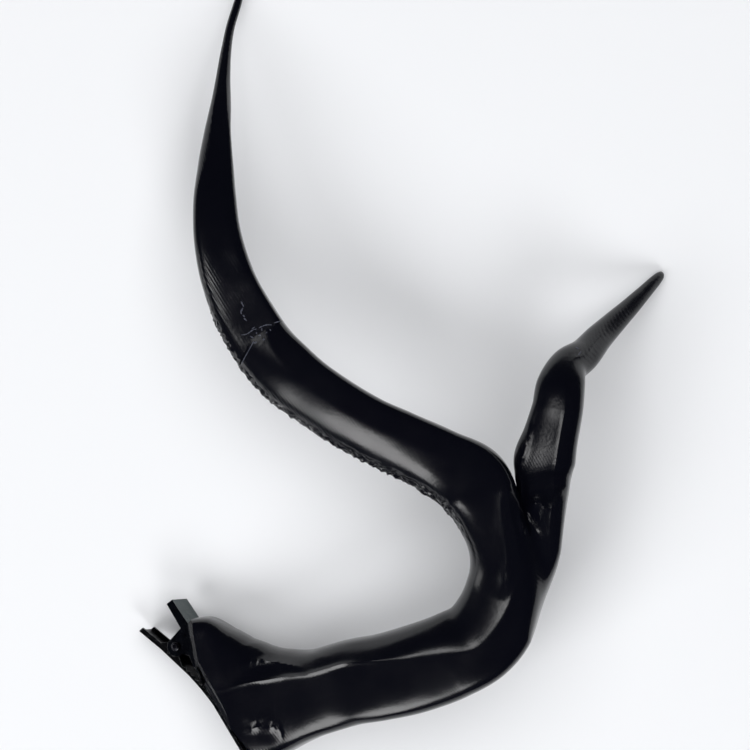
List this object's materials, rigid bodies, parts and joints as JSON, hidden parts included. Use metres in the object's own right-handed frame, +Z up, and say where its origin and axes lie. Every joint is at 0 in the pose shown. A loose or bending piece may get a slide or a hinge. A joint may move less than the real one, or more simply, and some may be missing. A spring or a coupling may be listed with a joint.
{
  "type": "costume horn hair clip",
  "caption": "Branched black costume horn whose flared foot is glued to a sprung, toothed metal hair clip.",
  "frame": {"origin": "middle of the bounding box, on the surface that the horn lies on", "axes": "+Y along the horn from its foot to the tip of the long beam, +X across it towards the tine, +Z up"},
  "size_m": [0.1804, 0.267, 0.0573],
  "materials": {
    "black_print": "glossy black printed plastic with fine layer lines",
    "upper_arm_metal": "black painted sheet metal",
    "lower_jaw_metal": "black painted sheet metal, worn bright along its edge",
    "pin_metal": "worn dark steel",
    "spring_metal": "dark spring steel"
  },
  "bodies": {
    "horn": {"horn": "black_print", "beam_tip": "black_print", "clip_upper_arm": "upper_arm_metal", "clip_pin": "pin_metal", "clip_spring": "spring_metal"},
    "clip_jaw": {"clip_lower_jaw": "lower_jaw_metal"}
  },
  "joints": [
    {"name": "clip_hinge", "type": "hinge", "parent": "horn", "child": "clip_jaw", "pos_m": [-0.07498, -0.09439, 0.01186], "axis": [0.4695, 0, -0.8829], "range_deg": [0, 30], "stiffness_Nm_per_rad": 0.05, "springref_deg": -57.3}
  ]
}
